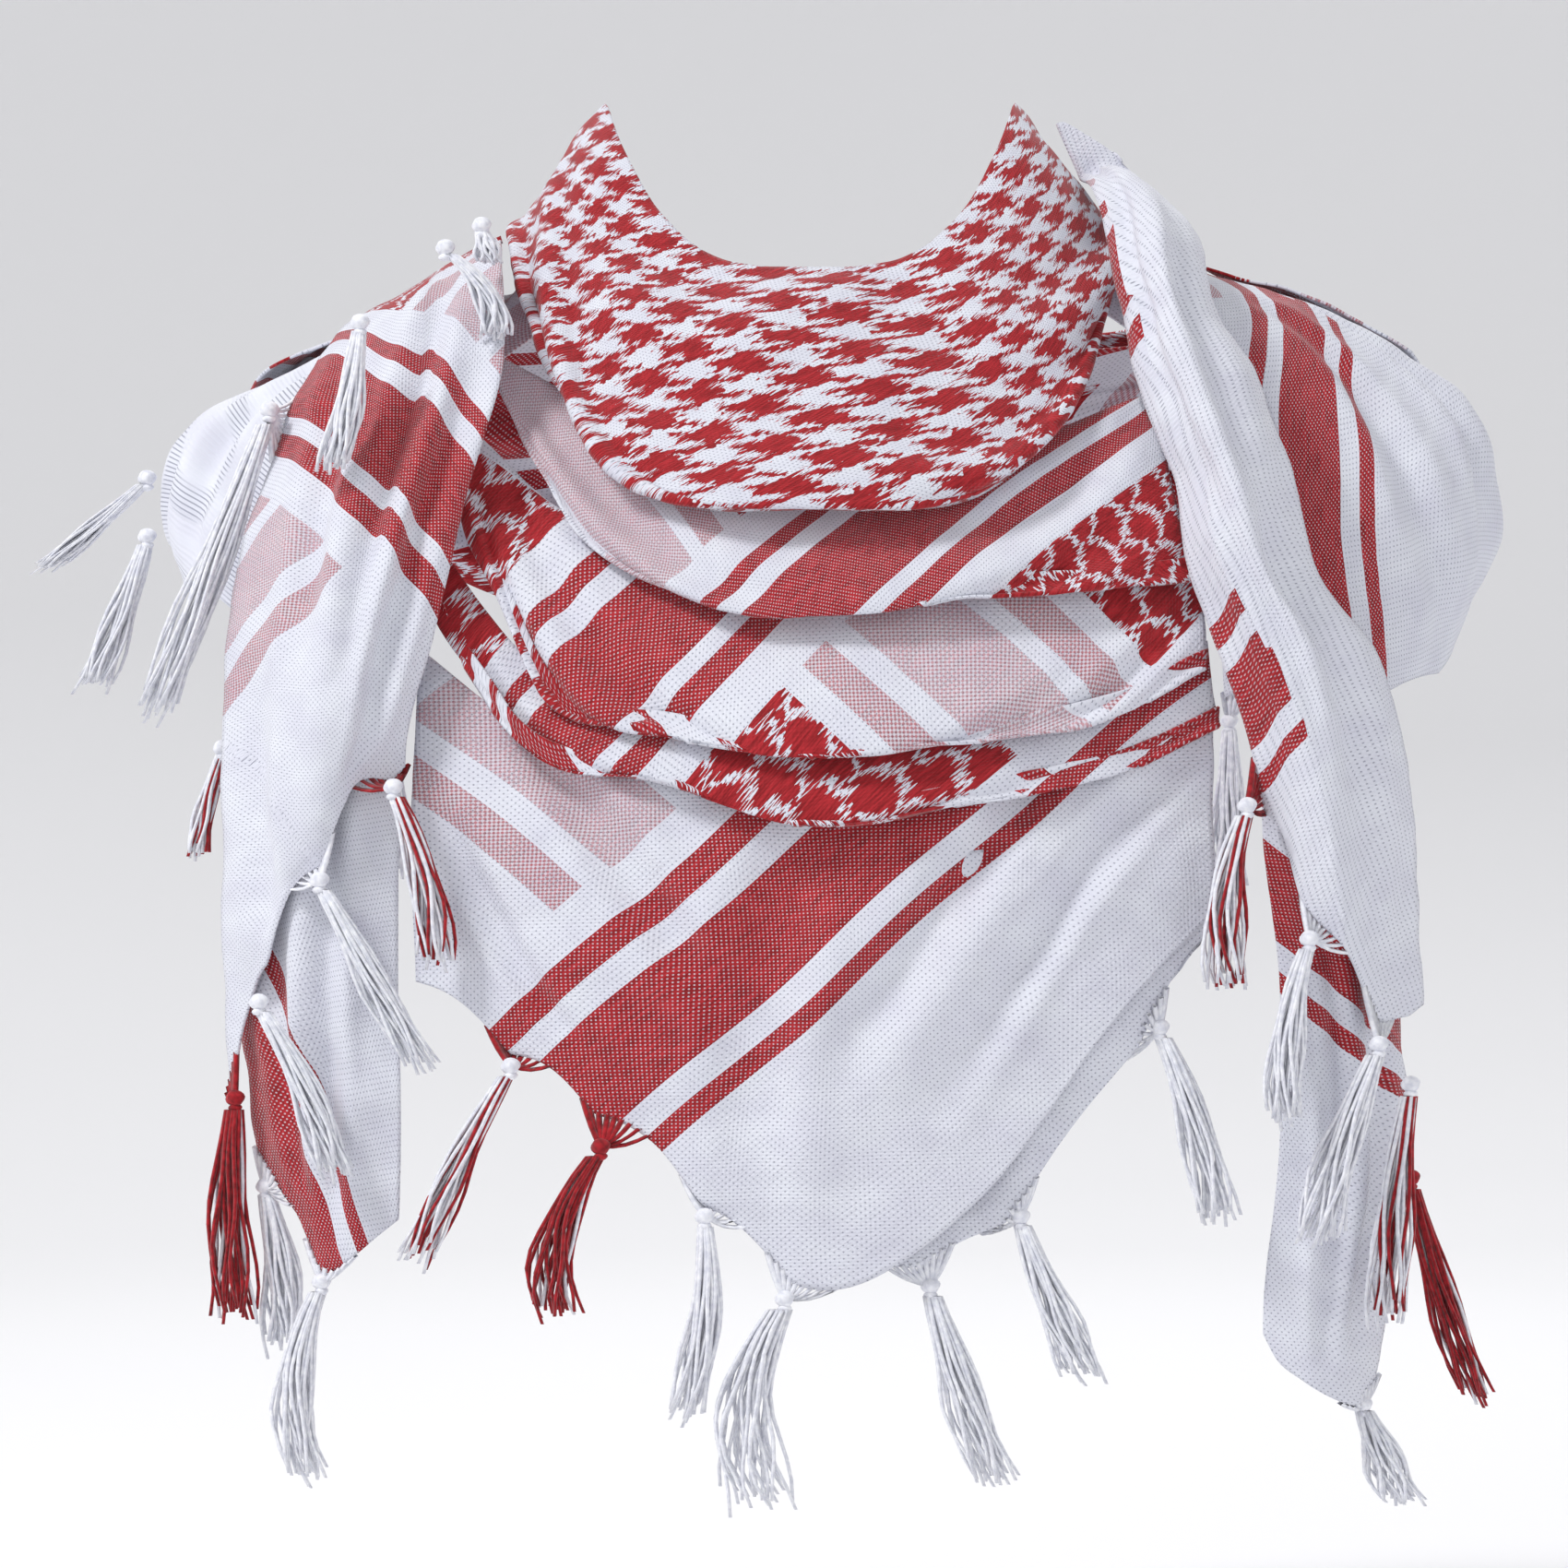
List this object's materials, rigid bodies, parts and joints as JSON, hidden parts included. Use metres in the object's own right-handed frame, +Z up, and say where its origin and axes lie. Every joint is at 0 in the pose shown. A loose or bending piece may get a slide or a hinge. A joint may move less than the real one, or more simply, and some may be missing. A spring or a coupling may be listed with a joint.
{
  "type": "keffiyeh headscarf",
  "caption": "Square woven cotton headscarf folded to a triangle and worn round the neck, with cowl folds in front, hanging ends and a knotted fringe.",
  "frame": {"origin": "on the axis of the wearer's neck, level with the top of the shoulders, where the scarf is held", "axes": "+X to the side that is on the right as seen from the front, -Y towards the front, +Z up along the neck"},
  "size_m": [0.5784, 0.2947, 0.5491],
  "materials": {
    "woven_cotton": "matt",
    "white_fringe": "matt",
    "red_fringe": "matt",
    "mixed_fringe": "matt"
  },
  "bodies": {
    "root": {"front_flap": "woven_cotton", "left_shoulder": "woven_cotton", "left_tail_back": "woven_cotton", "left_tail_front": "woven_cotton", "left_under_wrap": "woven_cotton", "lower_fold": "woven_cotton", "middle_fold": "woven_cotton", "nape_left": "woven_cotton", "nape_right": "woven_cotton", "neck_wrap": "woven_cotton", "right_shoulder": "woven_cotton", "right_tail_back": "woven_cotton", "right_tail_front": "woven_cotton", "right_under_wrap": "woven_cotton", "tassel_flap_1": "mixed_fringe", "tassel_flap_2": "red_fringe", "tassel_flap_3": "white_fringe", "tassel_flap_4": "white_fringe", "tassel_left_arm_lower": "white_fringe", "tassel_left_arm_upper": "white_fringe", "tassel_left_back_1": "white_fringe", "tassel_left_back_2": "white_fringe", "tassel_left_corner": "red_fringe", "tassel_left_front_1": "mixed_fringe", "tassel_left_front_2": "white_fringe", "tassel_left_front_3": "white_fringe", "tassel_left_nape": "white_fringe", "tassel_left_neck": "white_fringe", "tassel_left_neck_short": "white_fringe", "tassel_left_outer": "white_fringe", "tassel_left_side": "mixed_fringe", "tassel_nape_left": "white_fringe", "tassel_nape_right": "white_fringe", "tassel_right_back": "white_fringe", "tassel_right_front_1": "mixed_fringe", "tassel_right_front_2": "white_fringe", "tassel_right_front_3": "white_fringe", "tassel_right_side_1": "mixed_fringe", "tassel_right_side_2": "red_fringe", "tassel_under_1": "white_fringe", "tassel_under_2": "white_fringe", "tassel_under_3": "white_fringe", "under_flap": "woven_cotton", "upper_fold": "woven_cotton"}
  },
  "joints": []
}
